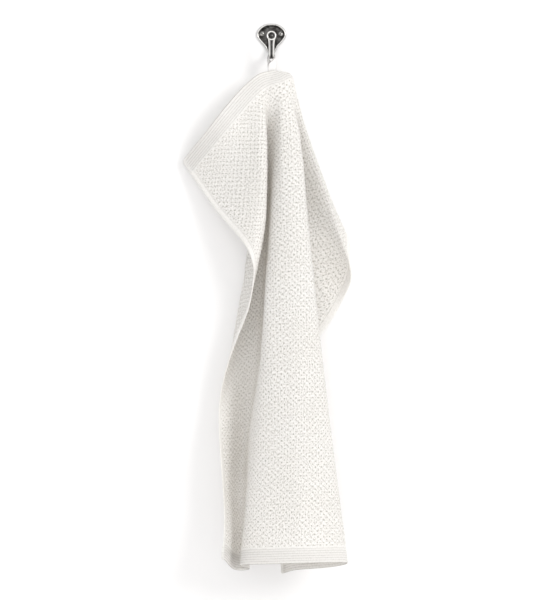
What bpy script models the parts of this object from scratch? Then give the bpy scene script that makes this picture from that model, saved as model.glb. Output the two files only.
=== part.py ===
"""A hand towel that hangs by its sewn-on tape loop from a metal wall hook.

Units are metres, +Z is up, +X is to the right as the towel is looked at and
+Y runs into the wall. The origin is the centre of the hook plate's back face.
"""
import math

import bmesh
import bpy
import numpy as np

OBJECT_NAME = "hand_towel_on_hook"
MM = 0.001

# ---- driving dimensions -------------------------------------------------
TOWEL_WIDTH = 0.400
TOWEL_LENGTH = 0.700
TOWEL_THICKNESS = 0.0021
CORNER_RADIUS = 0.004
FOLD_SOFTNESS = 0.0070          # how far, along the cloth, a fold is rounded
SOFTENING_STEPS = 9             # places averaged across a fold to round it
SOFTENING_REACH = 2.0           # how far they reach, in shares of the softness
MAX_BEND_ANGLE = math.radians(9.0)
LEAST_FALL = 0.02               # the cloth never runs flatter than this, squared

HANG_POINT = (0.005, -0.038, -0.0457)   # middle of the top hem, where it hangs

PLATE_THICKNESS = 0.0036
RIM_WIDTH = 0.0022
RIM_HEIGHT = 0.0014
SCREW_SPACING = 0.0265
SCREW_HEIGHT = 0.0090
SCREW_HEAD_RADIUS = 0.0037
SCREW_HEAD_HEIGHT = 0.0020
SCREW_SHANK_RADIUS = 0.0018
SCREW_CROWN = ((0.0, 1.0), (0.55, 0.86), (0.88, 0.50), (1.0, 0.0))   # share of radius, of height
FIT_GAP = 0.0003
OUTLINE_STEPS = 5               # flat sides between two points of the plate outline
ROUND_STEPS = 24                # flat sides of a round part

TAPE_THICKNESS = 0.0009
TAPE_ROWS = 29
# The tape's two strands: height, middle of the pair (sideways, out from the
# wall), turn of the tape's width in degrees, half the gap between the
# strands and the tape's width. Lengths in millimetres.
TAPE_STATIONS = (
    (-50.0, 0.8, 34.7, 0, 0.62, 11.2),
    (-45.0, 0.8, 34.8, 0, 0.62, 11.2),
    (-40.0, 0.7, 34.7, 18, 0.80, 11.0),
    (-36.0, 0.5, 34.2, 46, 1.60, 10.2),
    (-32.0, 0.2, 33.2, 76, 3.20, 9.0),
    (-28.0, 0.0, 32.0, 90, 4.30, 8.0),
    (-23.9, 0.0, 31.4, 90, 3.50, 8.0),
    (-21.9, 0.0, 31.2, 90, 0.00, 8.0),
)

# The cloth hangs from one point, so its folds run out from there like the
# ribs of a fan. A fold's flat angle is measured on the cut cloth, from the
# left half of the top hem. RINGS are distances from the hang point along the
# cloth; each fold lists (sideways, forward) in millimetres at every ring.
RINGS = (0.0, 0.03, 0.10, 0.20, 0.40, 0.55, 0.70)
# name, flat angle, ring 0.03, 0.10, 0.20, 0.40, 0.55, 0.70
FOLDS = (
    ("hem_left", 0, (-27, 8), (-75, 13), (-133, -27), (-246, -105), (-330, -165), (-410, -225)),
    ("flap", 24, (-21, 9), (-44, 14), (-80, 1), (-156, -22), (-212, -40), (-270, -56)),
    ("ridge_front", 43, (-13, 9), (-15, 20), (-20, 30), (-70, 48), (-100, 74), (-120, 104)),
    ("ridge_side", 48, (-11, 9), (-9, 15), (-11, 22), (-57, 40), (-89, 66), (-109, 98)),
    ("turn", 54, (-9, 9), (-12, 5), (-17, 5), (-46, 30), (-80, 46), (-95, 90)),
    ("bulge", 63, (-6, 9), (-17, -7), (-31, -17), (-61, 2), (-90, 30), (-90, 90)),
    ("valley_a", 69, (-4, 10), (-11, -15), (-21, -25), (-52, -30), (-77, 20), (-82, 84)),
    ("valley_b", 75, (-2, 10), (-6, -8), (-10, -16), (-25, -31), (-46, -31), (-66, 44)),
    ("gutter_a", 77.5, (-1, 10), (-4, -2), (-8, -4), (-19, -10), (-38, -14), (-51, 12)),
    ("gutter_b", 80, (1, 10), (-2, 5), (-7, 8), (-18, 12), (-37, 12), (-36, 15)),
    ("shoulder_left", 83, (3, 10), (1, 11), (-6, 18), (-20, 36), (-34, 40), (-50, 49)),
    ("crest", 91, (6, 11), (14, 21), (20, 34), (28, 58), (30, 70), (28, 84)),
    ("shoulder_right", 98.5, (12, 10), (29, 18), (44, 22), (65, 36), (83, 42), (102, 48)),
    ("side", 104, (17, 9), (38, 10), (44, 12), (51, 9), (50, 0), (28, 10)),
    ("valley_right", 110, (19, 8), (34, 0), (19, -4), (24, -4), (20, -4), (-10, -8)),
    ("valley_back", 114, (21, 8), (26, -9), (14, -13), (17, -18), (4, -14), (-36, -14)),
    ("panel", 123, (23, 6), (30, -14), (44, -17), (90, -28), (-30, -25), (-60, -20)),
    ("ridge_right", 131, (25, 3), (43, -7), (72, 2), (138, 6), (190, 0), (240, 0)),
    ("ridge_back", 138, (26, 0), (44, -15), (77, -10), (146, -12), (150, -16), (200, -16)),
    ("return", 150, (26, -5), (17, -25), (30, -33), (40, -35), (50, -35), (60, -35)),
    ("tuck", 164, (22, -12), (-8, -28), (-20, -34), (-60, -35), (-90, -35), (-120, -35)),
    ("hem_right", 180, (14, -18), (-33, -29), (-64, -34), (-140, -35), (-200, -35), (-260, -35)),
)
# Columns of the cloth between one fold and the next, in the order above.
COLUMNS_PER_FOLD = (8, 7, 5, 6, 7, 6, 6, 5, 5, 6, 6, 6, 7, 6, 6, 7, 7, 7, 8, 6, 6)
# Rows of the cloth, as a share of the way from its first ring to its edge.
FIRST_RING = 0.012
LAST_RING = 0.735               # just past the farthest corner
RING_STEPS = 148
ROWS = (0.0, 0.03, 0.07, 0.12, 0.18, 0.25, 0.33, 0.41, 0.48, 0.55,
        0.62, 0.69, 0.76, 0.83, 0.90, 0.95, 1.0)

# Half outline of the plate: (sideways, up) in millimetres, top to bottom.
PLATE_OUTLINE = ((0, 21.5), (13.5, 19.3), (21.4, 8.5), (15.5, -2.5), (9.0, -9.5), (5.0, -17.5), (0, -20.5))
# Centre line of the arm: (out from the wall, up, thickness radius) in mm.
ARM_LINE = (
    (3.2, -9.0, 4.2), (9.0, -15.5, 3.7), (17.0, -22.5, 3.4), (25.0, -26.4, 3.2), (33.0, -27.0, 3.1),
    (39.0, -23.5, 3.0), (42.5, -17.0, 3.0), (44.5, -9.0, 3.3), (46.0, -1.0, 4.2),
)
BOSS_CENTRE = (0.0, -0.0470, 0.0022)
BOSS_RADIUS = 0.0068
BOSS_DEPTH_SHARE = 0.72
BOSS_RINGS = 14
ARM_STEPS = 25
ARM_ROUND_STEPS = 3
SEAT_BLOCK = 0.040              # cuts the arm's foot flat where it meets the plate
SEAT_BLOCK_HEIGHT = -0.010


# ---- small helpers ------------------------------------------------------
def clear_scene():
    for item in list(bpy.data.objects):
        bpy.data.objects.remove(item, do_unlink=True)


def make_collection(name):
    collection = bpy.data.collections.new(name)
    bpy.context.scene.collection.children.link(collection)
    return collection


def make_material(name, colour, roughness, metallic):
    material = bpy.data.materials.new(name)
    material.use_nodes = True
    shader = material.node_tree.nodes["Principled BSDF"]
    shader.inputs["Base Color"].default_value = (*colour, 1.0)
    shader.inputs["Roughness"].default_value = roughness
    shader.inputs["Metallic"].default_value = metallic
    material.diffuse_color = (*colour, 1.0)
    return material


def add_object(name, mesh, collection, material=None):
    item = bpy.data.objects.new(name, mesh)
    collection.objects.link(item)
    if material:
        mesh.materials.append(material)
    return item


def mesh_from_curve(item, collection, name):
    """A closed mesh object in place of a curve, with its caps welded."""
    depsgraph = bpy.context.evaluated_depsgraph_get()
    mesh = bpy.data.meshes.new_from_object(item.evaluated_get(depsgraph))
    welded = bmesh.new()
    welded.from_mesh(mesh)
    bmesh.ops.remove_doubles(welded, verts=welded.verts, dist=0.00001)
    bmesh.ops.recalc_face_normals(welded, faces=welded.faces)
    welded.to_mesh(mesh)
    welded.free()
    place = item.matrix_world.copy()
    bpy.data.objects.remove(item, do_unlink=True)
    result = bpy.data.objects.new(name, mesh)
    result.matrix_world = place
    collection.objects.link(result)
    return result


def as_cutter(item):
    item.hide_render = True
    item.display_type = "WIRE"
    return item


def add_boolean(item, cutter, operation):
    modifier = item.modifiers.new(cutter.name, "BOOLEAN")
    modifier.operation = operation
    modifier.solver = "EXACT"
    modifier.object = cutter
    return modifier


def shade_round(item, angle=math.radians(35.0)):
    item.data.shade_smooth()
    item.data.set_sharp_from_angle(angle=angle)


# ---- the draped towel ---------------------------------------------------
def knot_slopes(knots, values):
    """Slopes for a smooth curve that never overshoots the tabled values."""
    steps = np.diff(knots).reshape(-1, *([1] * (values.ndim - 1)))
    rises = np.diff(values, axis=0) / steps
    before, after = rises[:-1], rises[1:]
    weight_before = 2 * steps[1:] + steps[:-1]
    weight_after = steps[1:] + 2 * steps[:-1]
    same_way = before * after > 0
    safe_before = np.where(same_way, before, 1.0)
    safe_after = np.where(same_way, after, 1.0)
    mean = (weight_before + weight_after) / (weight_before / safe_before + weight_after / safe_after)
    inner = np.where(same_way, mean, 0.0)
    return np.concatenate((rises[:1], inner, rises[-1:]))


def smooth_curve(knots, values, slopes, where):
    """Cubic curve through the values, read at the places in where."""
    index = np.clip(np.searchsorted(knots, where, side="right") - 1, 0, len(knots) - 2)
    shape = where.shape + (1,) * (values.ndim - 1)
    span = (knots[index + 1] - knots[index]).reshape(shape)
    t = (where - knots[index]).reshape(shape) / span
    start = (2 * t**3 - 3 * t**2 + 1) * values[index] + (t**3 - 2 * t**2 + t) * span * slopes[index]
    end = (3 * t**2 - 2 * t**3) * values[index + 1] + (t**3 - t**2) * span * slopes[index + 1]
    return start + end


def fold_sections(angles):
    """Sideways and forward places of the cloth at every ring, for flat angles in degrees.

    Past either hem the section is turned about the hem, so that rounding a
    fold leaves the hem where it is.
    """
    knots = np.array([row[1] for row in FOLDS], dtype=float)
    values = np.array([[(0, 0), *row[2:]] for row in FOLDS], dtype=float) * MM
    mirrored = np.where(angles < 0, -angles, np.where(angles > 180, 360 - angles, angles))
    sections = smooth_curve(knots, values, knot_slopes(knots, values), mirrored)
    left = (angles < 0)[:, None, None]
    right = (angles > 180)[:, None, None]
    sections = np.where(left, 2 * values[0] - sections, sections)
    return np.where(right, 2 * values[-1] - sections, sections)


def draped_fan(angles, radii):
    """Places of the cloth at flat angles (degrees) and distances from the hang point."""
    offsets = np.linspace(-SOFTENING_REACH, SOFTENING_REACH, SOFTENING_STEPS)
    weights = np.exp(-0.5 * offsets**2)
    weights /= weights.sum()
    rings = np.array(RINGS)
    spread = np.degrees(np.minimum(FOLD_SOFTNESS / np.maximum(radii, 1e-6), MAX_BEND_ANGLE))
    flat = np.zeros((len(angles), len(radii), 2))
    for column, radius in enumerate(radii):
        for offset, weight in zip(offsets, weights):
            sections = np.swapaxes(fold_sections(angles + offset * spread[column]), 0, 1)
            slopes = knot_slopes(rings, sections)
            slopes[0] = sections[1] / rings[1]
            flat[:, column] += weight * smooth_curve(rings, sections, slopes, np.array([radius]))[0]
    tilt = np.gradient(flat, radii, axis=1)
    fall = np.sqrt(np.clip(1.0 - (tilt**2).sum(axis=-1), LEAST_FALL, None))
    drop = np.zeros(fall.shape)
    drop[:, 1:] = np.cumsum((fall[:, 1:] + fall[:, :-1]) / 2 * np.diff(radii), axis=1)
    return np.stack((flat[..., 0], -flat[..., 1], -drop), axis=-1) + np.array(HANG_POINT)


def edge_distance(angle):
    """Distance from the hang point to the cut edge of the cloth, corners rounded."""
    half = TOWEL_WIDTH / 2
    across, down = abs(math.cos(angle)), math.sin(angle)
    to_side = half / across if across > 1e-9 else math.inf
    to_end = TOWEL_LENGTH / down if down > 1e-9 else math.inf
    reach = min(to_side, to_end)
    corner_x, corner_y = half - CORNER_RADIUS, TOWEL_LENGTH - CORNER_RADIUS
    if reach * across > corner_x and reach * down > corner_y:
        along = across * corner_x + down * corner_y
        reach = along + math.sqrt(along**2 - corner_x**2 - corner_y**2 + CORNER_RADIUS**2)
    return reach


def towel_columns():
    """Flat angles of the columns, closer together where the cloth folds."""
    angles = []
    for row, following, count in zip(FOLDS[:-1], FOLDS[1:], COLUMNS_PER_FOLD):
        share = (1.0 - np.cos(np.linspace(0.0, math.pi, count, endpoint=False))) / 2
        angles.extend(row[1] + (following[1] - row[1]) * share)
    angles.append(FOLDS[-1][1])
    return np.array(angles)


def build_towel(collection, material):
    angles = towel_columns()
    radii = np.linspace(0.0, LAST_RING, RING_STEPS)
    fan = draped_fan(angles, radii)
    mesh_builder = bmesh.new()
    centre = mesh_builder.verts.new(HANG_POINT)
    columns = []
    for index, angle in enumerate(angles):
        reach = edge_distance(math.radians(angle))
        column = [centre]
        for share in ROWS:
            distance = FIRST_RING + share * (reach - FIRST_RING)
            place = [np.interp(distance, radii, fan[index, :, axis]) for axis in range(3)]
            column.append(mesh_builder.verts.new(place))
        columns.append(column)
    for left, right in zip(columns[:-1], columns[1:]):
        mesh_builder.faces.new((centre, left[1], right[1]))
        for row in range(1, len(ROWS)):
            mesh_builder.faces.new((left[row], left[row + 1], right[row + 1], right[row]))
    mesh = bpy.data.meshes.new("towel")
    mesh_builder.to_mesh(mesh)
    mesh_builder.free()
    towel = add_object("towel", mesh, collection, material)
    shell = towel.modifiers.new("thickness", "SOLIDIFY")
    shell.thickness = TOWEL_THICKNESS
    shell.offset = 0.0
    shell.use_even_offset = False
    mesh.shade_smooth()
    return towel


# ---- the tape loop ------------------------------------------------------
def tape_line():
    """Centre line of the tape, its turn and width, from hem to hem.

    Both strands leave the back of the hem lying flat against each other. They
    turn edge-on as they rise, part to either side of the arm and meet above it.
    """
    heights = np.array(TAPE_STATIONS, dtype=float)
    heights[:, [0, 1, 2, 4, 5]] *= MM
    knots = np.arange(len(heights), dtype=float)
    where = np.linspace(0, len(heights) - 1, TAPE_ROWS)
    strand = smooth_curve(knots, heights, knot_slopes(knots, heights), where)
    line = []
    for side_sign, rows in ((-1, strand), (1, strand[-2::-1])):
        for up, side, out, turn, gap, width in rows:
            angle = math.radians(turn)
            offset = side_sign * gap
            line.append((side + offset * math.sin(angle), out + offset * math.cos(angle), up, turn, width))
    return line


def build_loop(collection, material):
    mesh_builder = bmesh.new()
    rows = []
    for side, out, up, turn, width in tape_line():
        angle = math.radians(turn)
        half = (width / 2 * math.cos(angle), width / 2 * math.sin(angle))
        near = mesh_builder.verts.new((side - half[0], -out - half[1], up))
        middle = mesh_builder.verts.new((side, -out, up))
        far = mesh_builder.verts.new((side + half[0], -out + half[1], up))
        rows.append((near, middle, far))
    for lower, upper in zip(rows[:-1], rows[1:]):
        for edge in range(2):
            mesh_builder.faces.new((lower[edge], lower[edge + 1], upper[edge + 1], upper[edge]))
    mesh = bpy.data.meshes.new("hanging_loop")
    mesh_builder.to_mesh(mesh)
    mesh_builder.free()
    loop = add_object("hanging_loop", mesh, collection, material)
    shell = loop.modifiers.new("thickness", "SOLIDIFY")
    shell.thickness = TAPE_THICKNESS
    shell.offset = 0.0
    mesh.shade_smooth()
    return loop


# ---- the wall hook ------------------------------------------------------
def outline_object(name, points, depth, collection):
    """An extruded closed outline, standing in the XZ plane, centred on y = 0."""
    curve = bpy.data.curves.new(name, "CURVE")
    curve.dimensions = "2D"
    curve.fill_mode = "BOTH"
    curve.extrude = depth / 2
    curve.resolution_u = OUTLINE_STEPS
    spline = curve.splines.new("BEZIER")
    spline.bezier_points.add(len(points) - 1)
    for knot, (side, up) in zip(spline.bezier_points, points):
        knot.co = (side, up, 0.0)
        knot.handle_left_type = "AUTO"
        knot.handle_right_type = "AUTO"
    spline.use_cyclic_u = True
    item = bpy.data.objects.new(name, curve)
    collection.objects.link(item)
    item.rotation_euler = (math.radians(90.0), 0.0, 0.0)
    bpy.context.view_layer.update()
    return mesh_from_curve(item, collection, name)


def plate_points(inset=0.0):
    """The whole plate outline, drawn in by inset."""
    half = [(side * MM, up * MM) for side, up in PLATE_OUTLINE]
    left = [(-side, up) for side, up in reversed(half[1:-1])]
    scale_x = 1.0 - inset / (max(side for side, _ in half))
    middle = (half[0][1] + half[-1][1]) / 2
    scale_z = 1.0 - inset / ((half[0][1] - half[-1][1]) / 2)
    return [(side * scale_x, middle + (up - middle) * scale_z) for side, up in half + left]


def take_new_object(name, collection):
    """The primitive just added, named and moved to a collection."""
    item = bpy.context.object
    item.name = name
    for owner in list(item.users_collection):
        owner.objects.unlink(item)
    collection.objects.link(item)
    return item


def cylinder(name, radius, depth, place, collection):
    """A cylinder whose axis runs out from the wall."""
    bpy.ops.mesh.primitive_cylinder_add(radius=radius, depth=depth, vertices=ROUND_STEPS, location=place,
                                        rotation=(math.radians(90.0), 0.0, 0.0))
    return take_new_object(name, collection)


def build_plate(parts, cutters, material):
    plate = outline_object("hook_plate", plate_points(), PLATE_THICKNESS, parts)
    plate.location.y = -PLATE_THICKNESS / 2
    plate.data.materials.append(material)
    recess = outline_object("plate_recess", plate_points(RIM_WIDTH), 2 * RIM_HEIGHT, cutters)
    recess.location.y = -PLATE_THICKNESS
    add_boolean(plate, as_cutter(recess), "DIFFERENCE")
    for side, name in ((-1, "left"), (1, "right")):
        place = (side * SCREW_SPACING / 2, -PLATE_THICKNESS / 2, SCREW_HEIGHT)
        radius = SCREW_SHANK_RADIUS + FIT_GAP
        hole = cylinder("screw_hole_" + name, radius, 3 * PLATE_THICKNESS, place, cutters)
        add_boolean(plate, as_cutter(hole), "DIFFERENCE")
    return plate


def build_arm(parts, cutters, material):
    curve = bpy.data.curves.new("hook_arm", "CURVE")
    curve.dimensions = "3D"
    curve.bevel_depth = 1.0
    curve.bevel_resolution = ARM_ROUND_STEPS
    curve.use_fill_caps = True
    values = np.array(ARM_LINE) * MM
    knots = np.arange(len(ARM_LINE), dtype=float)
    where = np.linspace(0, len(ARM_LINE) - 1, ARM_STEPS)
    line = smooth_curve(knots, values, knot_slopes(knots, values), where)
    spline = curve.splines.new("POLY")
    spline.points.add(len(line) - 1)
    for knot, (out, up, radius) in zip(spline.points, line):
        knot.co = (0.0, -out, up, 1.0)
        knot.radius = radius
    item = bpy.data.objects.new("hook_arm_line", curve)
    parts.objects.link(item)
    bpy.context.view_layer.update()
    arm = mesh_from_curve(item, parts, "hook_arm")
    arm.data.materials.append(material)
    bpy.ops.mesh.primitive_uv_sphere_add(segments=ROUND_STEPS, ring_count=BOSS_RINGS, radius=BOSS_RADIUS,
                                         location=BOSS_CENTRE)
    boss = take_new_object("arm_boss", cutters)
    boss.scale = (1.0, BOSS_DEPTH_SHARE, 1.0)
    add_boolean(arm, as_cutter(boss), "UNION")
    foot = -PLATE_THICKNESS + RIM_HEIGHT - FIT_GAP
    bpy.ops.mesh.primitive_cube_add(size=SEAT_BLOCK, location=(0.0, foot + SEAT_BLOCK / 2, SEAT_BLOCK_HEIGHT))
    seat = take_new_object("arm_seat", cutters)
    add_boolean(arm, as_cutter(seat), "DIFFERENCE")
    return arm


def build_screw(name, side, parts, material):
    """A round-headed screw: a turned profile about an axis out from the wall."""
    head_base = PLATE_THICKNESS - RIM_HEIGHT + FIT_GAP
    crown = [(SCREW_HEAD_RADIUS * across, head_base + SCREW_HEAD_HEIGHT * up) for across, up in SCREW_CROWN]
    profile = [*crown, (SCREW_SHANK_RADIUS, head_base), (SCREW_SHANK_RADIUS, 0.0), (0.0, 0.0)]
    mesh = bpy.data.meshes.new(name)
    points = [(radius, 0.0, out) for radius, out in profile]
    edges = [(index, index + 1) for index in range(len(profile) - 1)]
    mesh.from_pydata(points, edges, [])
    screw = add_object(name, mesh, parts, material)
    turn = screw.modifiers.new("turn", "SCREW")
    turn.axis = "Z"
    turn.steps = ROUND_STEPS
    turn.render_steps = ROUND_STEPS
    turn.use_merge_vertices = True
    turn.merge_threshold = 0.00001
    screw.rotation_euler = (math.radians(90.0), 0.0, 0.0)
    screw.location = (side * SCREW_SPACING / 2, 0.0, SCREW_HEIGHT)
    return screw


def main():
    clear_scene()
    parts = make_collection(OBJECT_NAME)
    cutters = make_collection("cutters")
    cotton = make_material("cotton_cloth", (0.86, 0.84, 0.80), 0.92, 0.0)
    tape = make_material("cotton_tape", (0.88, 0.87, 0.84), 0.85, 0.0)
    dark_metal = make_material("dark_nickel", (0.20, 0.19, 0.18), 0.28, 1.0)
    arm_metal = make_material("polished_nickel", (0.42, 0.41, 0.39), 0.22, 1.0)
    screw_metal = make_material("screw_steel", (0.35, 0.34, 0.33), 0.30, 1.0)
    build_towel(parts, cotton)
    build_loop(parts, tape)
    plate = build_plate(parts, cutters, dark_metal)
    arm = build_arm(parts, cutters, arm_metal)
    shade_round(plate)
    shade_round(arm)
    build_screw("screw_left", -1, parts, screw_metal)
    build_screw("screw_right", 1, parts, screw_metal)


main()
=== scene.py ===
"""Looks of a hand towel that hangs by its tape loop from a metal wall hook.

Units are metres, +Z is up and +Y runs into the wall. The towel is one sheet laid on the
folds of its solid, with its weave, ribbed hems and plain side bands in the mesh.
"""
import math

import bmesh
import bpy
import numpy as np
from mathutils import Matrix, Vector


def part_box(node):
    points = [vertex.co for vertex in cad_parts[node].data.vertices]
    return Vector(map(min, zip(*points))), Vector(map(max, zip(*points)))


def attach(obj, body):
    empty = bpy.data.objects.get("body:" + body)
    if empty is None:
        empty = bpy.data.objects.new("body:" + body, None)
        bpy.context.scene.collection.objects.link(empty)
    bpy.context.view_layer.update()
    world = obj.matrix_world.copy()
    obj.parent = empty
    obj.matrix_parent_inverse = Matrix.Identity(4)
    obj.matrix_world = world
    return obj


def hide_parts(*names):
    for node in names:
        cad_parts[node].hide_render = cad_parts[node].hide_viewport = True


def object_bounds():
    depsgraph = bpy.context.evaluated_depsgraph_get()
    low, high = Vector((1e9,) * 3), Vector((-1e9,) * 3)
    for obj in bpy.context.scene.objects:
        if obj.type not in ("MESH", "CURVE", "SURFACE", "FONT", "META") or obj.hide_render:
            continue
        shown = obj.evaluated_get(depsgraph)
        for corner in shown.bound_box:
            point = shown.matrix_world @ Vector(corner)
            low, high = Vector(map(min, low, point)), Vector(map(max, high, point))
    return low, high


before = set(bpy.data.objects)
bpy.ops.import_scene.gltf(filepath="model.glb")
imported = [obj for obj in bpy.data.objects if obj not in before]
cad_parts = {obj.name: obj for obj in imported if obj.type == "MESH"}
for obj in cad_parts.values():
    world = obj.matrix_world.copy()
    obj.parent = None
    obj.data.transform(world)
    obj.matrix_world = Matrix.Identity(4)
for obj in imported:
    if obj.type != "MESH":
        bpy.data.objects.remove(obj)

CAD_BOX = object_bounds()
MM = 0.001

# ---- the towel's drape, as the towel's solid has it --------------------------
TOWEL_WIDTH = 0.400
TOWEL_LENGTH = 0.700
CORNER_RADIUS = 0.004
FOLD_SOFTNESS = 0.0070          # how far, along the cloth, a fold is rounded
SOFTENING_STEPS = 9             # places averaged across a fold to round it
SOFTENING_REACH = 2.0           # how far they reach, in shares of the softness
MAX_BEND_ANGLE = math.radians(9.0)
LEAST_FALL = 0.02               # the cloth never runs flatter than this, squared
HANG_POINT = (0.005, -0.038, -0.0457)   # middle of the top hem, where it hangs
FAN_ANGLE_STEPS = 1801
FAN_RING_STEPS = 297
FAN_REACH = 0.740

# Flat angles run from the left half of the top hem. RINGS are distances from the hang
# point along the cloth; each fold lists (sideways, forward) in millimetres at each.
RINGS = (0.0, 0.03, 0.10, 0.20, 0.40, 0.55, 0.70)
# name, flat angle, ring 0.03, 0.10, 0.20, 0.40, 0.55, 0.70
FOLDS = (
    ("hem_left", 0, (-27, 8), (-75, 13), (-133, -27), (-246, -105), (-330, -165), (-410, -225)),
    ("flap", 24, (-21, 9), (-44, 14), (-80, 1), (-156, -22), (-212, -40), (-270, -56)),
    ("ridge_front", 43, (-13, 9), (-15, 20), (-20, 30), (-70, 48), (-100, 74), (-120, 104)),
    ("ridge_side", 48, (-11, 9), (-9, 15), (-11, 22), (-57, 40), (-89, 66), (-109, 98)),
    ("turn", 54, (-9, 9), (-12, 5), (-17, 5), (-46, 30), (-80, 46), (-95, 90)),
    ("bulge", 63, (-6, 9), (-17, -7), (-31, -17), (-61, 2), (-90, 30), (-90, 90)),
    ("valley_a", 69, (-4, 10), (-11, -15), (-21, -25), (-52, -30), (-77, 20), (-82, 84)),
    ("valley_b", 75, (-2, 10), (-6, -8), (-10, -16), (-25, -31), (-46, -31), (-66, 44)),
    ("gutter_a", 77.5, (-1, 10), (-4, -2), (-8, -4), (-19, -10), (-38, -14), (-51, 12)),
    ("gutter_b", 80, (1, 10), (-2, 5), (-7, 8), (-18, 12), (-37, 12), (-36, 15)),
    ("shoulder_left", 83, (3, 10), (1, 11), (-6, 18), (-20, 36), (-34, 40), (-50, 49)),
    ("crest", 91, (6, 11), (14, 21), (20, 34), (28, 58), (30, 70), (28, 84)),
    ("shoulder_right", 98.5, (12, 10), (29, 18), (44, 22), (65, 36), (83, 42), (102, 48)),
    ("side", 104, (17, 9), (38, 10), (44, 12), (51, 9), (50, 0), (28, 10)),
    ("valley_right", 110, (19, 8), (34, 0), (19, -4), (24, -4), (20, -4), (-10, -8)),
    ("valley_back", 114, (21, 8), (26, -9), (14, -13), (17, -18), (4, -14), (-36, -14)),
    ("panel", 123, (23, 6), (30, -14), (44, -17), (90, -28), (-30, -25), (-60, -20)),
    ("ridge_right", 131, (25, 3), (43, -7), (72, 2), (138, 6), (190, 0), (240, 0)),
    ("ridge_back", 138, (26, 0), (44, -15), (77, -10), (146, -12), (150, -16), (200, -16)),
    ("return", 150, (26, -5), (17, -25), (30, -33), (40, -35), (50, -35), (60, -35)),
    ("tuck", 164, (22, -12), (-8, -28), (-20, -34), (-60, -35), (-90, -35), (-120, -35)),
    ("hem_right", 180, (14, -18), (-33, -29), (-64, -34), (-140, -35), (-200, -35), (-260, -35)),
)

# ---- the weave, the hems and the side bands ----------------------------------
HEM_WIDTH = 0.020
HEM_ROWS = 12                   # two rows of the mesh to a rib
SIDE_BAND_WIDTH = 0.0072
SIDE_BAND_COLUMNS = 3
COLUMNS_PER_CELL = 2            # columns of the mesh to a column of cells
ROWS_PER_CELL = 4
BODY_COLUMNS = 180
BODY_ROWS = 340
CELL_WIDTH = COLUMNS_PER_CELL * (TOWEL_WIDTH - 2 * SIDE_BAND_WIDTH) / BODY_COLUMNS
CELL_LENGTH = ROWS_PER_CELL * (TOWEL_LENGTH - 2 * HEM_WIDTH) / BODY_ROWS
LAYER_GAP = 0.0013              # from the front of a hem to its turned-back layer
EDGE_ROUNDING = 0.0005
RELIEF = 0.00120                # from the bottom of a pit to the top of a cell
RELIEF_MIDDLE = 0.45            # the level that lies on the solid's folds
CELL_LEVELS = (1.0, 0.70, 0.0, 0.70)    # down a column: a cell's top, its slope, the pit, the slope
CELL_SIDE = 0.42
RIB_TOP = 1.05
RIB_GROOVE = 0.0
BAND_LEVEL = 0.60
BAND_CREASE = 0.10
UNEVENNESS = 0.30               # share by which cells differ in height
SEED = 11
CREASE_FADE = 0.7               # how softly a crease ends, less being more sudden
CREASES = (     # from (across, down) to (across, down), half width, height, in millimetres
    (-12, 22, -46, 150, 6, 1.8),
    (-26, 20, -92, 138, 7, -1.6),
    (-50, 24, -150, 150, 9, 1.5),
    (2, 30, -8, 170, 5, 1.5),
    (14, 24, 30, 140, 6, -1.6),
    (30, 70, 22, 300, 9, 1.4),
    (-4, 200, 14, 420, 12, -1.5),
    (-40, 260, -20, 470, 11, 1.3),
    (34, 380, 20, 600, 13, -1.3),
    (-150, 210, -120, 360, 12, 1.6),
    (-120, 330, -150, 520, 14, -1.6),
    (-70, 420, -96, 640, 12, 1.4),
    (88, 190, 112, 420, 11, 1.3),
    (6, 560, 30, 690, 14, 1.2),
)

# ---- the cloth's surface; shades are (place, colour) stops, noise scales are to a metre ----
WHITE = (1.0, 1.0, 1.0)
# Painted shade: the low stops darken the pits, the hem grooves and the side band creases, over their real
# relief.
CLOTH_COLOUR_AND_PAINTED_SHADE = ((0.0, (0.54, 0.525, 0.505)), (0.24, (0.935, 0.927, 0.91)), (1.0, (0.96, 0.954, 0.942)))
# Painted shade in the middle of each pit of the lattice.
PAINTED_PIT_SHADES = ((0.04, (0.70, 0.685, 0.66)), (0.20, WHITE))
GRAIN_SHADES = ((0.35, (0.61, 0.602, 0.585)), (0.56, WHITE))
PATCH_SHADES = ((0.3, (0.97, 0.965, 0.955)), (0.7, WHITE))
GRAIN_STRETCH = 0.55            # how few grains there are down the cloth, beside across it
GRAIN_NOISE = {"Scale": 620.0, "Detail": 2.5}
HEM_GRAIN = 0.30                # share of the grain that the hems and side bands have
PATCH_NOISE = {"Scale": 14.0, "Detail": 3.0}
WEAVE_BUMP = {"Strength": 0.6, "Distance": 0.0006}
GRAIN_BUMP = {"Strength": 0.7, "Distance": 0.0008}
CLOTH_SURFACE = {"Roughness": 0.95, "Specular IOR Level": 0.2, "Sheen Weight": 0.15, "Sheen Roughness": 0.5}
THROUGH_SHARE = 0.18            # share of the light that comes through the cloth
THROUGH_COLOUR = (0.97, 0.91, 0.82)

# ---- the tape loop; lengths in its table are in millimetres ---------------------
TAPE_STATIONS = (   # height, sideways, out from wall, turn in degrees, half gap, width
    (-50.0, 0.8, 34.7, 0, 0.62, 11.9),
    (-45.0, 0.8, 34.8, 0, 0.62, 11.9),
    (-40.0, 0.7, 34.7, 16, 0.90, 11.9),
    (-36.0, 0.4, 34.2, 38, 1.90, 11.6),
    (-32.0, 0.1, 33.2, 64, 4.00, 10.4),
    (-28.0, 0.0, 32.0, 84, 5.20, 8.8),
    (-23.9, 0.0, 31.4, 90, 4.10, 8.0),
    (-21.9, 0.0, 31.2, 90, 0.00, 8.0),
)
TAPE_ROWS = 85
TAPE_COLUMNS = 15
TAPE_THICKNESS = 0.00075
TAPE_RIB_SHADE = 0.3            # how much darker every second rib is
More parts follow.
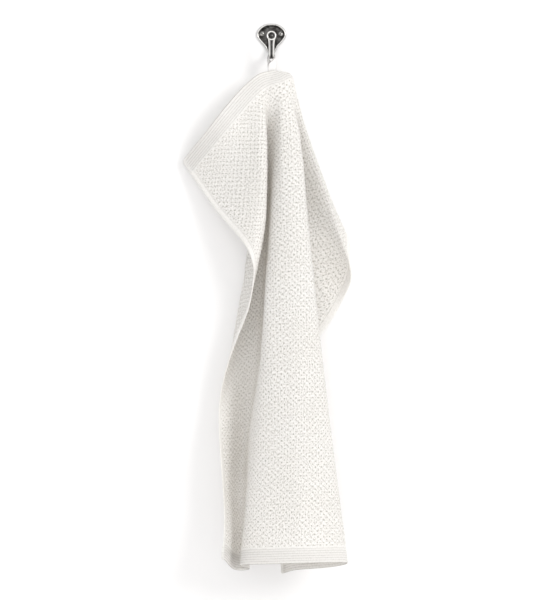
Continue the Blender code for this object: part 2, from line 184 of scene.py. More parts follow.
# Painted shade: the lowest stop darkens the tape's edges.
TAPE_COLOUR_AND_PAINTED_EDGE_SHADE = ((0.0, (0.42, 0.40, 0.39)), (1.0, (0.90, 0.89, 0.88)))
TAPE_WEAVE_SCALE = 330.0
TAPE_BUMP = {"Strength": 0.4, "Distance": 0.0002}
TAPE_SURFACE = {"Roughness": 0.85, "Sheen Weight": 0.1}

# ---- the hook; lengths in its tables are in millimetres -------------------------
ARM_LINE = (  # out from the wall, up, radius
    (3.2, -9.0, 4.2), (9.0, -15.5, 3.7), (17.0, -22.5, 3.4), (25.0, -26.4, 3.2), (33.0, -27.0, 3.1),
    (39.0, -23.5, 3.0), (42.5, -17.0, 3.0), (44.5, -9.0, 3.3), (46.0, -1.0, 4.2),
)
ARM_STEPS = 72
ARM_SECTION = 48
ARM_BREADTH = 1.22              # sideways size of the arm over its depth
GROOVE_DEPTH = 0.34
GROOVE_HALF_ANGLE = 0.34
BEAD_HEIGHT = 0.14
BEAD_ANGLE = 0.92
BEAD_HALF_ANGLE = 0.34
GROOVE_START = 0.15             # share of the arm over which its groove deepens from the plate
GROOVE_END = 0.04               # and over which it runs out at the boss
# Painted reflection on the arm: a highlight on the beads, painted shade in the groove.
ARM_PAINTED_REFLECTION = 0.12
BEAD_PAINTED_HIGHLIGHT = 0.75
GROOVE_PAINTED_SHADE = -0.30
BOSS_CENTRE = (0.0, -0.0470, 0.0022)
BOSS_PROFILE = (    # radius, out from the boss's middle, painted reflection: a highlight on the rim, dark in the recess
    (0.0, -4.4, 0.5), (3.0, -4.2, 0.5), (5.2, -3.0, 0.6), (6.4, -1.2, 0.8), (6.75, 0.4, 1.0),
    (6.6, 1.7, 1.0), (6.1, 2.4, 1.0), (5.5, 2.5, 1.0), (4.9, 2.1, 0.9), (4.5, 1.4, 0.1), (4.1, 1.4, 0.0),
    (3.3, 2.2, 0.0), (2.2, 2.9, 0.0), (1.1, 3.3, 0.0), (0.0, 3.4, 0.0),
)
PLATE_PROFILE = (   # inset from the outline, out from the wall, painted reflection: a highlight on the rim, dark in the recess
    (0.0, 0.0, 0.0), (0.0, 2.4, 0.05), (0.15, 3.0, 0.15), (0.55, 3.5, 0.55), (1.1, 3.6, 0.8),
    (1.8, 3.5, 0.8), (2.2, 2.9, 0.5), (2.4, 2.4, 0.1), (2.6, 2.2, 0.0), (4.5, 2.2, 0.0),
    (8.0, 2.2, 0.0), (12.0, 2.2, 0.0), (16.0, 2.2, 0.0),
)
PLATE_RIM = 2.6                 # inset in millimetres up to which the rim follows the outline
PLATE_CORE = 13.4               # from there to the middle
PLATE_OUTLINE_STEPS = 144
OUTLINE_SMOOTHINGS = 14
BACK_FACE_DEPTH = 0.0001        # points this near the wall are on the plate's back face
SCREW_HOLE_REACH = 0.003        # points this near a screw's middle are not on the outline
PLATE_CROWN = 0.0018            # how far the middle of the plate's top stands over its corners
SCREW_PROFILE = (   # radius, out from the wall, painted reflection: a highlight on top of the head, darker down its side
    (0.0, 4.5, 0.5), (1.2, 4.4, 0.5), (2.3, 4.0, 0.45), (3.1, 3.4, 0.4), (3.6, 2.8, 0.35), (3.7, 2.5, 0.3),
    (1.8, 2.5, 0.2), (1.8, 0.0, 0.2), (0.0, 0.0, 0.2),
)
SCREW_SLOT_WIDTH = 0.0009
SCREW_SLOT_DEPTH = 0.0009
SCREW_SLOT_TURNS = {"screw_left": 35.0, "screw_right": -50.0}
SLOT_CUTTER_LENGTH = 0.010
SLOT_CUTTER_SPARE = 0.0005      # how far the cutter stands out of the head
LATHE_STEPS = 48
WELD_DISTANCE = 0.00001
PLATINGS = {    # painted dark reflection in the hollows, painted highlight on the high edges, roughness
    "polished_plating": ((0.035, 0.034, 0.033), (0.80, 0.79, 0.77), 0.20),
    "dark_plating": ((0.018, 0.017, 0.016), (0.72, 0.71, 0.69), 0.24),
    "screw_plating": ((0.03, 0.03, 0.029), (0.55, 0.54, 0.52), 0.22),
}
PLATING_DARK_UP_TO = 0.12
PLATING_BRIGHT_FROM = 0.846154
WEAR_SHARE = 0.30
WEAR_NOISE = {"Scale": 260.0, "Detail": 4.0}
WEAR_BUMP = {"Strength": 0.12, "Distance": 0.0003}

# ---- the stage, the lights and the camera ---------------------------------------
CAMERA_DISTANCE = 4.0           # from the hang point
CAMERA_ASIDE = -0.01065
CAMERA_BELOW = -0.3266
FIELD_HEIGHT = 0.852            # what the camera takes in at the hang point
SENSOR = 36.0
WALL_SIZE = 6.0
WALL_GAP = 0.0002
FLOOR_DROP = 0.12
LIGHTS = (  # name, place, size, watts, colour
    ("key", (2.1, -2.6, 0.75), 1.3, 40.0, (1.0, 0.99, 0.975)),
    ("front", (-0.6, -4.2, 0.7), 3.0, 24.0, (1.0, 1.0, 1.0)),
)
SKY_STRENGTH = 0.82
PAINT_COLOUR = (0.84, 0.835, 0.835)
PAINT_GLOW = 0.11               # keeps the pale backdrop pale in the shadow


# ---- small helpers ---------------------------------------------------------------
class Shading:
    """A node material under construction."""

    def __init__(self, name):
        self.material = bpy.data.materials.new(name)
        self.material.use_nodes = True
        self.shader = self.material.node_tree.nodes["Principled BSDF"]
        self.output = self.material.node_tree.nodes["Material Output"]

    def feed(self, node, inputs):
        """Sets a node's inputs to values, or links them to other nodes' sockets."""
        for name, value in inputs.items():
            if isinstance(value, bpy.types.NodeSocket):
                self.material.node_tree.links.new(value, node.inputs[name])
            else:
                node.inputs[name].default_value = value

    def add(self, kind, inputs=None, **settings):
        """Adds a node, with its settings and its inputs."""
        node = self.material.node_tree.nodes.new("ShaderNode" + kind)
        for setting, value in settings.items():
            setattr(node, setting, value)
        self.feed(node, inputs or {})
        return node

    def attribute(self, name):
        return self.add("Attribute", attribute_name=name).outputs["Fac"]

    def maths(self, operation, *values):
        return self.add("Math", dict(enumerate(values)), operation=operation).outputs["Value"]

    def shaded(self, value, stops):
        """Colours read from (place, colour) stops."""
        node = self.add("ValToRGB", {"Fac": value})
        elements = node.color_ramp.elements
        while len(elements) < len(stops):
            elements.new(1.0)
        for element, (place, colour) in zip(elements, stops):
            element.position = place
            element.color = (*colour, 1.0)
        return node.outputs["Color"]

    def multiplied(self, first, second, share=1.0):
        """The first colour darkened by the second."""
        inputs = {"Factor": share, "A": first, "B": second}
        return self.add("Mix", inputs, data_type="RGBA", blend_type="MULTIPLY").outputs["Result"]

    def bumped(self, height, size, inputs=None):
        return self.add("Bump", {"Height": height, **size, **(inputs or {})}).outputs["Normal"]


def add_piece(name, mesh, material, slot, *nodes):
    """A finished piece: shown, riding on the part's one body and standing for its CAD nodes."""
    piece = bpy.data.objects.new(name, mesh)
    bpy.context.scene.collection.objects.link(piece)
    mesh.materials.append(material)
    mesh.shade_smooth()
    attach(piece, "root")
    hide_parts(*nodes)
    return piece


def grid_faces(rows, columns, closed=False):
    """Quads between neighbouring rows and columns of a grid of points."""
    last = columns if closed else columns - 1
    row = np.arange(rows - 1)[:, None] * columns
    near = np.arange(last)[None, :]
    far = (near + 1) % columns
    quads = np.stack((row + near, row + far, row + columns + far, row + columns + near), axis=-1)
    return quads.reshape(-1, 4)


def mesh_of(name, points, faces, **attributes):
    """A mesh with a float attribute for each named array of values."""
    mesh = bpy.data.meshes.new(name)
    corners = [tuple(int(corner) for corner in face) for face in faces]
    mesh.from_pydata([tuple(point) for point in points], [], corners)
    for attribute, values in attributes.items():
        layer = mesh.attributes.new(attribute, "FLOAT", "POINT")
        layer.data.foreach_set("value", np.asarray(values, dtype=np.float32).ravel())
    mesh.update()
    return mesh


def knot_slopes(knots, values):
    """Slopes for a smooth curve that never overshoots the tabled values."""
    steps = np.diff(knots).reshape(-1, *([1] * (values.ndim - 1)))
    rises = np.diff(values, axis=0) / steps
    before, after = rises[:-1], rises[1:]
    weight_before = 2 * steps[1:] + steps[:-1]
    weight_after = steps[1:] + 2 * steps[:-1]
    same_way = before * after > 0
    safe_before = np.where(same_way, before, 1.0)
    safe_after = np.where(same_way, after, 1.0)
    mean = (weight_before + weight_after) / (weight_before / safe_before + weight_after / safe_after)
    inner = np.where(same_way, mean, 0.0)
    return np.concatenate((rises[:1], inner, rises[-1:]))


def smooth_curve(knots, values, slopes, where):
    """Cubic curve through the values, read at the places in where."""
    index = np.clip(np.searchsorted(knots, where, side="right") - 1, 0, len(knots) - 2)
    shape = where.shape + (1,) * (values.ndim - 1)
    span = (knots[index + 1] - knots[index]).reshape(shape)
    t = (where - knots[index]).reshape(shape) / span
    start = (2 * t**3 - 3 * t**2 + 1) * values[index] + (t**3 - 2 * t**2 + t) * span * slopes[index]
    end = (3 * t**2 - 2 * t**3) * values[index + 1] + (t**3 - t**2) * span * slopes[index + 1]
    return start + end


def through_table(table, count):
    """A smooth run of count rows through the rows of a table in millimetres."""
    values = np.array(table, dtype=float)
    knots = np.arange(len(values), dtype=float)
    return smooth_curve(knots, values, knot_slopes(knots, values), np.linspace(0, len(values) - 1, count))


# ---- where the cloth lies ----------------------------------------------------------
def fold_sections(angles):
    """Sideways and forward places of the cloth at every ring, for flat angles in degrees."""
    knots = np.array([row[1] for row in FOLDS], dtype=float)
    values = np.array([[(0, 0), *row[2:]] for row in FOLDS], dtype=float) * MM
    mirrored = np.where(angles < 0, -angles, np.where(angles > 180, 360 - angles, angles))
    sections = smooth_curve(knots, values, knot_slopes(knots, values), mirrored)
    left = (angles < 0)[:, None, None]
    right = (angles > 180)[:, None, None]
    sections = np.where(left, 2 * values[0] - sections, sections)
    return np.where(right, 2 * values[-1] - sections, sections)


def draped_fan(angles, radii):
    """Places of the cloth at flat angles (degrees) and distances from the hang point."""
    offsets = np.linspace(-SOFTENING_REACH, SOFTENING_REACH, SOFTENING_STEPS)
    weights = np.exp(-0.5 * offsets**2)
    weights /= weights.sum()
    rings = np.array(RINGS)
    spread = np.degrees(np.minimum(FOLD_SOFTNESS / np.maximum(radii, 1e-6), MAX_BEND_ANGLE))
    flat = np.zeros((len(angles), len(radii), 2))
    for column, radius in enumerate(radii):
        for offset, weight in zip(offsets, weights):
            sections = np.swapaxes(fold_sections(angles + offset * spread[column]), 0, 1)
            slopes = knot_slopes(rings, sections)
            slopes[0] = sections[1] / rings[1]
            flat[:, column] += weight * smooth_curve(rings, sections, slopes, np.array([radius]))[0]
    tilt = np.gradient(flat, radii, axis=1)
    fall = np.sqrt(np.clip(1.0 - (tilt**2).sum(axis=-1), LEAST_FALL, None))
    drop = np.zeros(fall.shape)
    drop[:, 1:] = np.cumsum((fall[:, 1:] + fall[:, :-1]) / 2 * np.diff(radii), axis=1)
    return np.stack((flat[..., 0], -flat[..., 1], -drop), axis=-1) + np.array(HANG_POINT)


def between(fan, angle_share, ring_share):
    """The fan read between its own angles and rings."""
    column = np.clip(angle_share.astype(int), 0, fan.shape[0] - 2)
    ring = np.clip(ring_share.astype(int), 0, fan.shape[1] - 2)
    a = (angle_share - column)[..., None]
    r = (ring_share - ring)[..., None]
    near = fan[column, ring] * (1 - r) + fan[column, ring + 1] * r
    far = fan[column + 1, ring] * (1 - r) + fan[column + 1, ring + 1] * r
    return near * (1 - a) + far * a


def cloth_places(across, down, fan):
    """Where the flat points (across, down) of the cloth hang."""
    half = TOWEL_WIDTH / 2
    side = np.clip((np.abs(across) - (half - CORNER_RADIUS)) / CORNER_RADIUS, 0.0, 1.0)
    end = np.clip((down - (TOWEL_LENGTH - CORNER_RADIUS)) / CORNER_RADIUS, 0.0, 1.0)
    top = np.clip((CORNER_RADIUS - down) / CORNER_RADIUS, 0.0, 1.0)
    both = np.maximum(end, top)
    across = across - np.sign(across) * CORNER_RADIUS * side * (1 - np.sqrt(1 - both**2 / 2))
    pull = CORNER_RADIUS * both * (1 - np.sqrt(1 - side**2 / 2))
    down = down + np.where(end > 0, -pull, pull)
    angle_share = np.degrees(np.arctan2(down, -across)) / 180.0 * (FAN_ANGLE_STEPS - 1)
    ring_share = np.hypot(across, down) / FAN_REACH * (FAN_RING_STEPS - 1)
    return between(fan, angle_share, ring_share)


# ---- the towel -------------------------------------------------------------------------
def path_with_turned_edges(stations, turned):
    """Stations from edge to edge with their turned-back ends, as (station, layer, outward) rows.

    turned is how many stations at each end the hem covers. The layer is 0 in front
    and 1 behind; outward is the way an edge bulges, -1 at the first and 1 at the last.
    """
    first = [(place, 1.0, 0.0) for place in stations[turned::-1]]
    last = [(place, 1.0, 0.0) for place in stations[:-turned - 2:-1]]
    front = [(place, 0.0, 0.0) for place in stations]
    return np.array(first + [(stations[0], 0.5, -1.0)] + front + [(stations[-1], 0.5, 1.0)] + last)


def relief_levels(column, row):
    """How high the cloth stands, from 0 in a pit to 1 on a cell, at mesh columns and rows."""
    body_column = column - SIDE_BAND_COLUMNS
    body_row = row - HEM_ROWS
    down_cell = (body_row + body_column) % len(CELL_LEVELS)
    on_cells = body_column % COLUMNS_PER_CELL == 0
    level = np.where(on_cells, np.array(CELL_LEVELS)[down_cell], CELL_SIDE)
    in_band = (body_column < 0) | (body_column > BODY_COLUMNS)
    level = np.where(in_band, BAND_LEVEL, level)
    level = np.where((body_column == 0) | (body_column == BODY_COLUMNS), BAND_CREASE, level)
    from_edge = np.minimum(row, 2 * HEM_ROWS + BODY_ROWS - row)
    ribs = np.where(from_edge % 2 == 1, RIB_TOP, RIB_GROOVE)
    return np.where(from_edge <= HEM_ROWS + 1, np.where(in_band, (ribs + BAND_LEVEL) / 2, ribs), level)


def weave_share(column, row):
    """1 where the waffle weave is, 0 in the hems and the side bands."""
    inside = (column > SIDE_BAND_COLUMNS) & (column < SIDE_BAND_COLUMNS + BODY_COLUMNS)
    return (inside & (row > HEM_ROWS + 1) & (row < HEM_ROWS + BODY_ROWS - 1)).astype(float)


def crease_heights(across, down):
    """How far the soft creases lift the cloth at flat points."""
    lift = np.zeros(np.shape(across))
    for start_across, start_down, end_across, end_down, half_width, height in CREASES:
        run = np.array((end_across - start_across, end_down - start_down)) * MM
        from_start = np.stack((across - start_across * MM, down - start_down * MM), axis=-1)
        share = np.clip(from_start @ run / (run @ run), 0.0, 1.0)
        away = np.linalg.norm(from_start - share[..., None] * run, axis=-1)
        ends = np.sin(math.pi * share) ** CREASE_FADE
        lift += height * MM * np.exp(-(away / (half_width * MM)) ** 2) * ends
    return lift


def towel_mesh():
    """The sheet with its weave in relief, its hems and side bands turned back behind it."""
    half = TOWEL_WIDTH / 2
    band = np.linspace(0.0, SIDE_BAND_WIDTH, SIDE_BAND_COLUMNS + 1)
    body = np.linspace(SIDE_BAND_WIDTH, TOWEL_WIDTH - SIDE_BAND_WIDTH, BODY_COLUMNS + 1)
    columns = np.concatenate((band[:-1], body, TOWEL_WIDTH - band[-2::-1])) - half
    hem = np.linspace(0.0, HEM_WIDTH, HEM_ROWS + 1)
    body = np.linspace(HEM_WIDTH, TOWEL_LENGTH - HEM_WIDTH, BODY_ROWS + 1)
    rows = np.concatenate((hem[:-1], body, TOWEL_LENGTH - hem[-2::-1]))

    column_path = path_with_turned_edges(columns, SIDE_BAND_COLUMNS)
    row_path = path_with_turned_edges(rows, HEM_ROWS)
    across, down = np.meshgrid(column_path[:, 0], row_path[:, 0])
    angles = np.linspace(0.0, 180.0, FAN_ANGLE_STEPS)
    fan = draped_fan(angles, np.linspace(0.0, FAN_REACH, FAN_RING_STEPS))
    front = cloth_places(*np.meshgrid(columns, rows), fan)
    sideways = np.gradient(front, columns, axis=1)
    downward = np.gradient(front, rows, axis=0)
    facing = np.cross(sideways, downward)
    facing /= np.linalg.norm(facing, axis=-1, keepdims=True)
    facing *= -np.sign(facing[len(rows) // 2, len(columns) // 2, 1])

    column_index = np.searchsorted(columns, column_path[:, 0])
    row_index = np.searchsorted(rows, row_path[:, 0])
    pick = np.ix_(row_index, column_index)
    level = relief_levels(*np.meshgrid(column_index, row_index))
    chance = np.random.default_rng(SEED)
    level = level * (1 + UNEVENNESS * chance.uniform(-1, 1, (len(rows), len(columns)))[pick])
    behind = np.add.outer(row_path[:, 1], column_path[:, 1])
    height = RELIEF * (level - RELIEF_MIDDLE) * np.clip(1 - behind, 0, 1) - LAYER_GAP * behind
    height += crease_heights(across, down)
    out_side = EDGE_ROUNDING * column_path[None, :, 2, None]
    out_end = EDGE_ROUNDING * row_path[:, None, 2, None]
    places = front[pick] + facing[pick] * height[..., None]
    places += sideways[pick] * out_side + downward[pick] * out_end

    body = weave_share(*np.meshgrid(column_index, row_index))
    mesh = mesh_of("towel_cloth", places.reshape(-1, 3), grid_faces(*level.shape), relief=level, body=body)
    uv = mesh.uv_layers.new(name="flat").data
    loops = np.zeros(len(mesh.loops), dtype=np.int64)
    mesh.loops.foreach_get("vertex_index", loops)
    flat = np.stack((across.ravel() + half, down.ravel()), axis=-1)[loops]
    uv.foreach_set("uv", flat.astype(np.float32).ravel())
    return mesh


def cloth_material():
    """Off-white cotton: painted shade in the narrow warm pits between the cells, uneven yarn, a little
    light through it.
    """
    kit = Shading("cotton_weave")
    flat = kit.add("UVMap", uv_map="flat").outputs["UV"]
    place = kit.add("SeparateXYZ", {"Vector": flat}).outputs
    body = kit.attribute("body")

    # The lattice is 1 on top of a cell and -1 in the middle of a pit, and 0 outside the weave.
    across = kit.maths("SUBTRACT", place["X"], SIDE_BAND_WIDTH)
    down = kit.maths("SUBTRACT", place["Y"], HEM_WIDTH)
    wave_across = kit.maths("COSINE", kit.maths("MULTIPLY", across, math.pi / CELL_WIDTH))
    wave_down = kit.maths("COSINE", kit.maths("MULTIPLY", down, 2 * math.pi / CELL_LENGTH))
    lattice = kit.maths("MULTIPLY", kit.maths("MULTIPLY", wave_across, wave_down), body)
    height = kit.maths("MULTIPLY_ADD", lattice, 0.5, 0.5)

    stretched = kit.add("Mapping", {"Vector": flat, "Scale": (1.0, GRAIN_STRETCH, 1.0)}).outputs["Vector"]
    grain = kit.add("TexNoise", {"Vector": stretched, **GRAIN_NOISE}).outputs["Fac"]
    grain_share = kit.maths("ADD", kit.maths("MULTIPLY", body, 1.0 - HEM_GRAIN), HEM_GRAIN)
    patches = kit.add("TexNoise", {"Vector": flat, **PATCH_NOISE}).outputs["Fac"]

    # Painted shade: the relief level darkens the pits, the hem grooves and the band creases.
    colour = kit.shaded(kit.attribute("relief"), CLOTH_COLOUR_AND_PAINTED_SHADE)
    # Painted shade in the middle of each pit.
    colour = kit.multiplied(colour, kit.shaded(height, PAINTED_PIT_SHADES))
    colour = kit.multiplied(colour, kit.shaded(grain, GRAIN_SHADES), grain_share)
    colour = kit.multiplied(colour, kit.shaded(patches, PATCH_SHADES))
    weave = kit.bumped(height, WEAVE_BUMP)
    normal = kit.bumped(grain, GRAIN_BUMP, {"Normal": weave})
    kit.feed(kit.shader, {"Base Color": colour, "Normal": normal, **CLOTH_SURFACE})

    through = kit.add("BsdfTranslucent", {"Color": (*THROUGH_COLOUR, 1.0)}).outputs["BSDF"]
    thin = kit.add("MixShader", {"Fac": THROUGH_SHARE, 1: kit.shader.outputs["BSDF"], 2: through})
    kit.feed(kit.output, {"Surface": thin.outputs["Shader"]})
    return kit.material


# ---- the tape loop ------------------------------------------------------------------------
def tape_mesh():
    """A woven tape, up one side of the arm, over it and down the other."""
    strand = through_table(TAPE_STATIONS, TAPE_ROWS // 2 + 1)
    rows = [(-1, row) for row in strand] + [(1, row) for row in strand[-2::-1]]
    share = np.linspace(-0.5, 0.5, TAPE_COLUMNS)
    points = []
    for side_sign, (up, aside, out, turn, gap, width) in rows:
        angle = math.radians(turn)
        gap *= side_sign
        points += zip(
            (aside + share * width * math.cos(angle) + gap * math.sin(angle)) * MM,
            (-out + share * width * math.sin(angle) - gap * math.cos(angle)) * MM,
            np.full(TAPE_COLUMNS, up * MM),
        )
    shades = [1.0 - TAPE_RIB_SHADE * (column % 2) for column in range(TAPE_COLUMNS - 2)]
    # The edge columns are 0: painted shade along the tape's edges.
    relief = [0.0, *shades, 0.0] * len(rows)
    return mesh_of("tape_loop", points, grid_faces(len(rows), TAPE_COLUMNS), relief=relief)


def tape_material():
    """White cotton tape with painted shade along its edges, and fine cross ribs."""
    kit = Shading("cotton_tape_weave")
    place = kit.add("TexCoord").outputs["Object"]
    weave = kit.add("TexWave", {"Vector": place, "Scale": TAPE_WEAVE_SCALE}, bands_direction="Z")
    normal = kit.bumped(weave.outputs["Fac"], TAPE_BUMP)
    colour = kit.shaded(kit.attribute("relief"), TAPE_COLOUR_AND_PAINTED_EDGE_SHADE)
    kit.feed(kit.shader, {"Base Color": colour, "Normal": normal, **TAPE_SURFACE})
    return kit.material


# ---- the hook ----------------------------------------------------------------------------------
def lathe(profile, centre):
    """Points, quads and painted reflection of a profile turned about an axis out from the wall."""
    turn = np.linspace(0.0, 2 * math.pi, LATHE_STEPS, endpoint=False)
    rings = []
    shine = []
    for radius, out, bright in profile:
        side = centre[0] + radius * MM * np.cos(turn)
        up = centre[2] + radius * MM * np.sin(turn)
        rings.append(np.stack((side, np.full(LATHE_STEPS, centre[1] - out * MM), up), axis=-1))
        shine += [bright] * LATHE_STEPS
    return np.concatenate(rings), grid_faces(len(profile), LATHE_STEPS, closed=True), shine


def tidy_mesh(mesh):
    """Welds the points that meet on an axis and turns every face outward."""
    work = bmesh.new()
    work.from_mesh(mesh)
    bmesh.ops.remove_doubles(work, verts=work.verts, dist=WELD_DISTANCE)
    bmesh.ops.recalc_face_normals(work, faces=work.faces)
    work.to_mesh(mesh)
    work.free()
    return mesh


def arm_mesh():
    """The cast arm: a rod with a groove and two beads down its outer face, and its boss."""
    line = through_table(ARM_LINE, ARM_STEPS) * MM
    tangent = np.gradient(line[:, :2], axis=0)
    tangent /= np.linalg.norm(tangent, axis=1, keepdims=True)
    share = np.linspace(0.0, 1.0, ARM_STEPS)
    fade = np.clip(share / GROOVE_START, 0, 1) * np.clip((1 - share) / GROOVE_END, 0, 1)
    turn = np.linspace(-math.pi, math.pi, ARM_SECTION, endpoint=False)
    groove = np.exp(-(turn / GROOVE_HALF_ANGLE) ** 2)
    beads = np.exp(-((np.abs(turn) - BEAD_ANGLE) / BEAD_HALF_ANGLE) ** 2)
    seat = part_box("hook_arm")[1][1]
    points = []
    shine = []
    for (out, up, radius), (along_out, along_up), amount in zip(line, tangent, fade):
        reach = radius * (1 - amount * GROOVE_DEPTH * groove + amount * BEAD_HEIGHT * beads)
        face_out, face_up = along_up, -along_out
        aside = ARM_BREADTH * reach * np.sin(turn)
        ahead = reach * np.cos(turn)
        points += zip(aside, np.minimum(-(out + ahead * face_out), seat), up + ahead * face_up)
        # Painted highlight on the beads and painted shade in the groove.
        shine += list(np.clip(ARM_PAINTED_REFLECTION + BEAD_PAINTED_HIGHLIGHT * beads + GROOVE_PAINTED_SHADE * amount * groove, 0, 1))
    points = np.array(points)
    faces = [tuple(face) for face in grid_faces(ARM_STEPS, ARM_SECTION, closed=True)]
    faces.append(tuple(range(ARM_SECTION)))
    faces.append(tuple(range((ARM_STEPS - 1) * ARM_SECTION, ARM_STEPS * ARM_SECTION)))
    boss_points, boss_faces, boss_shine = lathe(BOSS_PROFILE, BOSS_CENTRE)
    faces += [tuple(face + len(points)) for face in boss_faces]
    mesh = mesh_of("arm_casting", np.concatenate((points, boss_points)), faces, shine=shine + boss_shine)
    return tidy_mesh(mesh)


def plate_outline():
    """The plate's outline, taken from the back face of its CAD node and made smooth."""
    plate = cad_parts["hook_plate"]
    low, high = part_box("hook_plate")
    corners = [point.co for point in plate.data.vertices if point.co.y > high[1] - BACK_FACE_DEPTH]
    points = np.array(sorted({(round(corner.x, 6), round(corner.z, 6)) for corner in corners}))
    for name in ("screw_left", "screw_right"):
        near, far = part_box(name)
        centre = np.array(((near[0] + far[0]) / 2, (near[2] + far[2]) / 2))
        points = points[np.hypot(*(points - centre).T) > SCREW_HOLE_REACH]
    middle = np.array((0.0, (low[2] + high[2]) / 2))
    points = points[np.argsort(np.arctan2(*(points - middle).T))]
    count = len(points)
    where = np.linspace(0, count, PLATE_OUTLINE_STEPS, endpoint=False)
    index = where.astype(int)
    t = (where - index)[:, None]
    p0, p1, p2, p3 = (points[(index + step) % count] for step in (-1, 0, 1, 2))
    cubic = p1 + t / 2 * (p2 - p0 + t * (2 * p0 - 5 * p1 + 4 * p2 - p3 + t * (3 * (p1 - p2) + p3 - p0)))
    for _ in range(OUTLINE_SMOOTHINGS):
        cubic = (np.roll(cubic, 1, axis=0) + 2 * cubic + np.roll(cubic, -1, axis=0)) / 4
    rise = np.clip((cubic[:, 1] - middle[1]) / (high[2] - middle[1]), 0, 1)
    cubic[:, 1] += PLATE_CROWN * rise * np.cos(cubic[:, 0] / high[0] * math.pi / 2)
    return cubic, middle


def plate_mesh():
    """The cast plate: a raised rounded rim round a shallow recess, with a painted highlight on the rim and
    painted dark reflection in the recess.
    """
    outline, middle = plate_outline()
    inward = np.roll(outline, 1, axis=0) - np.roll(outline, -1, axis=0)
    inward = np.stack((-inward[:, 1], inward[:, 0]), axis=-1)
    inward /= np.linalg.norm(inward, axis=1, keepdims=True)
    inward *= np.sign(((middle - outline) * inward).sum(axis=1))[:, None]
    rings = []
    shine = []
    for inset, out, bright in PLATE_PROFILE:
        ring = outline + inward * min(inset, PLATE_RIM) * MM
        ring = ring + (middle - ring) * np.clip((inset - PLATE_RIM) / PLATE_CORE, 0, 1)
        rings.append(np.stack((ring[:, 0], np.full(len(ring), -out * MM), ring[:, 1]), axis=-1))
        shine += [bright] * len(ring)
    faces = [tuple(face) for face in grid_faces(len(rings), PLATE_OUTLINE_STEPS, closed=True)]
    faces.append(tuple(range(PLATE_OUTLINE_STEPS)))
    return tidy_mesh(mesh_of("wall_plate", np.concatenate(rings), faces, shine=shine))


def screw_mesh(node):
    """A round-headed screw with a slot across its head."""
    near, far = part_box(node)
    centre = ((near[0] + far[0]) / 2, far[1], (near[2] + far[2]) / 2)
    points, faces, shine = lathe(SCREW_PROFILE, centre)
    mesh = tidy_mesh(mesh_of(node + "_turned", points, faces, shine=shine))
    screw = bpy.data.objects.new("uncut_" + node, mesh)
    bpy.context.scene.collection.objects.link(screw)
    slot_depth = near[1] + (SCREW_SLOT_DEPTH - SLOT_CUTTER_SPARE) / 2
    bpy.ops.mesh.primitive_cube_add(size=1.0, location=(centre[0], slot_depth, centre[2]))
    cutter = bpy.context.object
    cutter.scale = (SLOT_CUTTER_LENGTH, SCREW_SLOT_DEPTH + SLOT_CUTTER_SPARE, SCREW_SLOT_WIDTH)
    cutter.rotation_euler = (0.0, math.radians(SCREW_SLOT_TURNS[node]), 0.0)
    cut = screw.modifiers.new("slot", "BOOLEAN")
    cut.object = cutter
    cut.solver = "EXACT"
    bpy.context.view_layer.update()
    result = bpy.data.meshes.new_from_object(screw.evaluated_get(bpy.context.evaluated_depsgraph_get()))
    result.name = node + "_slotted"
    bpy.data.objects.remove(cutter, do_unlink=True)
    bpy.data.objects.remove(screw, do_unlink=True)
    return result


def plated_material(name):
    """Polished plating with painted dark reflections in the hollows and painted highlights on the high
    edges, made patchy by noise.
    """
    dark, bright, roughness = PLATINGS[name]
    kit = Shading(name)
    place = kit.add("TexCoord").outputs["Object"]
    wear = kit.add("TexNoise", {"Vector": place, **WEAR_NOISE}).outputs["Fac"]
    # Painted reflection: dark in the hollows, a highlight on the high edges.
    patchy = kit.maths("MULTIPLY_ADD", wear, WEAR_SHARE, kit.attribute("shine"))
    colour = kit.shaded(patchy, ((PLATING_DARK_UP_TO, dark), (PLATING_BRIGHT_FROM, bright)))
    normal = kit.bumped(wear, WEAR_BUMP)
    kit.feed(kit.shader, {"Base Color": colour, "Normal": normal, "Metallic": 1.0, "Roughness": roughness})
    return kit.material


# ---- the stage, the lights and the camera -------------------------------------------------------
def stage_material():
    """Pale matt paint that shows only from its front."""
    kit = Shading("pale_paint")
    matt = {"Base Color": (*PAINT_COLOUR, 1.0), "Roughness": 1.0, "Specular IOR Level": 0.0}
    glow = {"Emission Color": (*WHITE, 1.0), "Emission Strength": PAINT_GLOW}
    kit.feed(kit.shader, {**matt, **glow})
    behind = kit.add("NewGeometry").outputs["Backfacing"]
    clear = kit.add("BsdfTransparent").outputs["BSDF"]
    mix = kit.add("MixShader", {"Fac": behind, 1: kit.shader.outputs["BSDF"], 2: clear})
    kit.feed(kit.output, {"Surface": mix.outputs["Shader"]})
    return kit.material


def stage_plane(name, place, tilt, material):
    bpy.ops.mesh.primitive_plane_add(size=WALL_SIZE, location=place, rotation=(tilt, 0.0, 0.0))
    plane = bpy.context.object
    plane.name = name
    plane.data.materials.append(material)


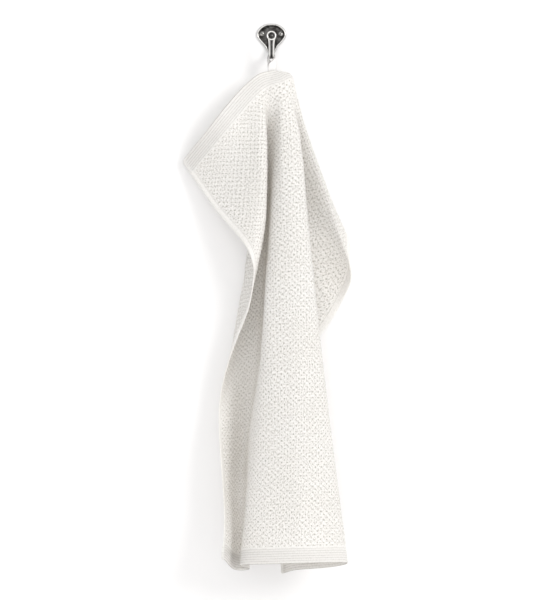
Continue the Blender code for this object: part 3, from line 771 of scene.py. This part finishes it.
def build_stage():
    low, high = CAD_BOX
    paint = stage_material()
    stage_plane("wall_backdrop", (0.0, high[1] + WALL_GAP, 0.0), math.radians(90.0), paint)
    floor_height = low[2] - FLOOR_DROP
    stage_plane("floor", (0.0, high[1] - WALL_SIZE / 2, floor_height), 0.0, paint)


def build_lights():
    target = (Vector(CAD_BOX[0]) + Vector(CAD_BOX[1])) / 2
    for name, place, size, watts, colour in LIGHTS:
        data = bpy.data.lights.new(name, "AREA")
        data.shape = "DISK"
        data.size = size
        data.energy = watts
        data.color = colour
        light = bpy.data.objects.new(name, data)
        light.location = place
        light.rotation_euler = (target - Vector(place)).to_track_quat("-Z", "Y").to_euler()
        bpy.context.scene.collection.objects.link(light)
    world = bpy.data.worlds.new("soft_room")
    world.use_nodes = True
    sky = world.node_tree.nodes["Background"]
    sky.inputs["Color"].default_value = (*WHITE, 1.0)
    sky.inputs["Strength"].default_value = SKY_STRENGTH
    bpy.context.scene.world = world
    bpy.context.scene.view_settings.view_transform = "Standard"


def build_camera():
    data = bpy.data.cameras.new("camera")
    data.sensor_width = SENSOR
    data.lens = SENSOR * CAMERA_DISTANCE / FIELD_HEIGHT
    camera = bpy.data.objects.new("camera", data)
    side, depth, height = HANG_POINT
    camera.location = (side + CAMERA_ASIDE, depth - CAMERA_DISTANCE, height + CAMERA_BELOW)
    camera.rotation_euler = (math.radians(90.0), 0.0, 0.0)
    bpy.context.scene.collection.objects.link(camera)
    bpy.context.scene.camera = camera


def main():
    build_camera()
    build_stage()
    build_lights()
    tape = add_piece("tape_loop", tape_mesh(), tape_material(), "cotton_tape", "hanging_loop")
    body = tape.modifiers.new("thickness", "SOLIDIFY")
    body.thickness = TAPE_THICKNESS
    body.offset = 0.0
    towel = add_piece("towel_cloth", towel_mesh(), cloth_material(), "cotton_cloth", "towel")
    bright = plated_material("polished_plating")
    dark = plated_material("dark_plating")
    steel = plated_material("screw_plating")
    add_piece("wall_plate", plate_mesh(), dark, "dark_nickel", "hook_plate")
    arm = add_piece("arm_casting", arm_mesh(), bright, "polished_nickel", "hook_arm")
    for node in ("screw_left", "screw_right"):
        add_piece(node + "_detail", screw_mesh(node), steel, "screw_steel", node)


main()
